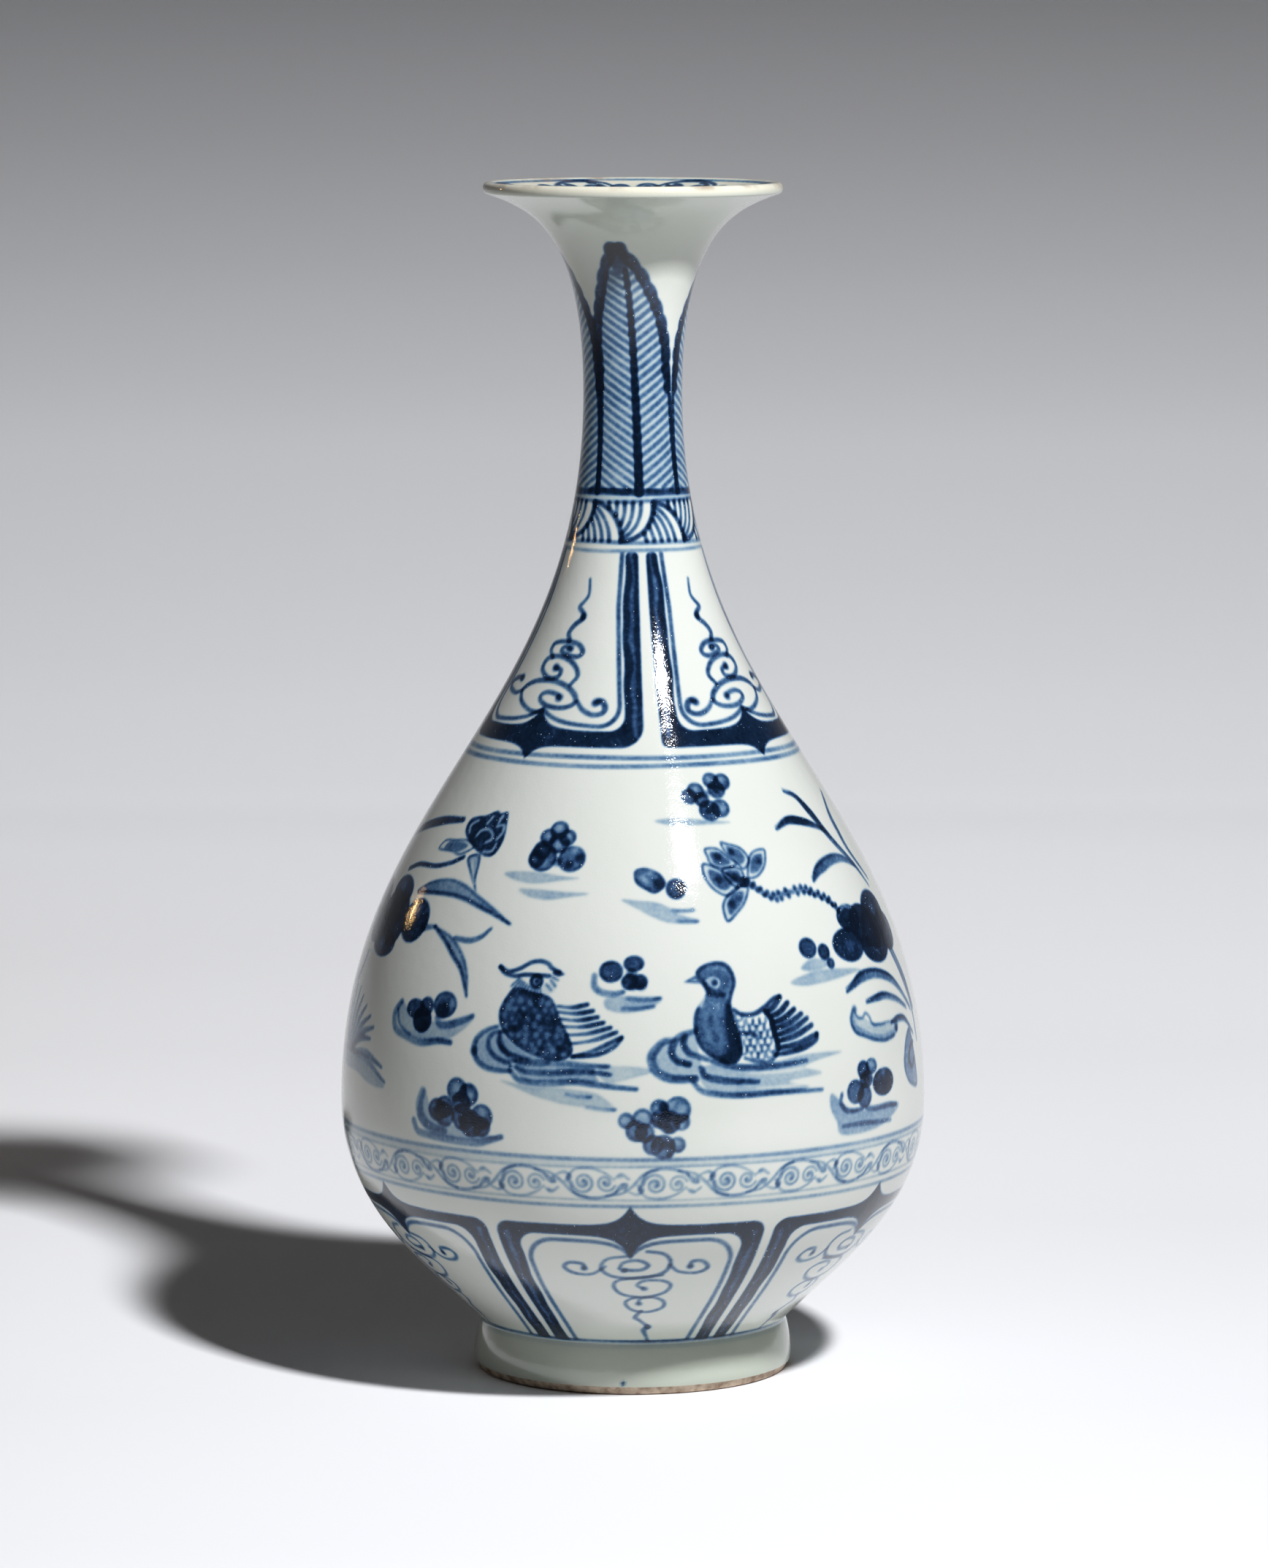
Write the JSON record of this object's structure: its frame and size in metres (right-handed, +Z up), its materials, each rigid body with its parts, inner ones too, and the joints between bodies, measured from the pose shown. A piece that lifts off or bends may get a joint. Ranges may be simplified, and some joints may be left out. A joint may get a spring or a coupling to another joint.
{
  "type": "pear-shaped porcelain vase",
  "caption": "Pear-shaped glazed porcelain vase with a slender neck, flared trumpet mouth and low foot ring.",
  "frame": {"origin": "centre of the plane that the foot ring stands on", "axes": "+Z up along the vase's axis; -Y is the side that the picture shows"},
  "size_m": [0.1468, 0.1468, 0.298],
  "materials": {
    "clay": "unglazed fired porcelain, fine matt",
    "painted_glaze": "glossy clear bluish-white glaze over cobalt blue painting",
    "plain_glaze": "glossy clear greenish-white glaze"
  },
  "bodies": {
    "root": {"mouth_rim": "clay", "neck": "clay", "upper_body": "clay", "lower_body": "clay", "foot_ring": "clay", "outer_glaze": "painted_glaze", "inner_glaze": "plain_glaze", "foot_well_glaze": "plain_glaze"}
  },
  "joints": []
}
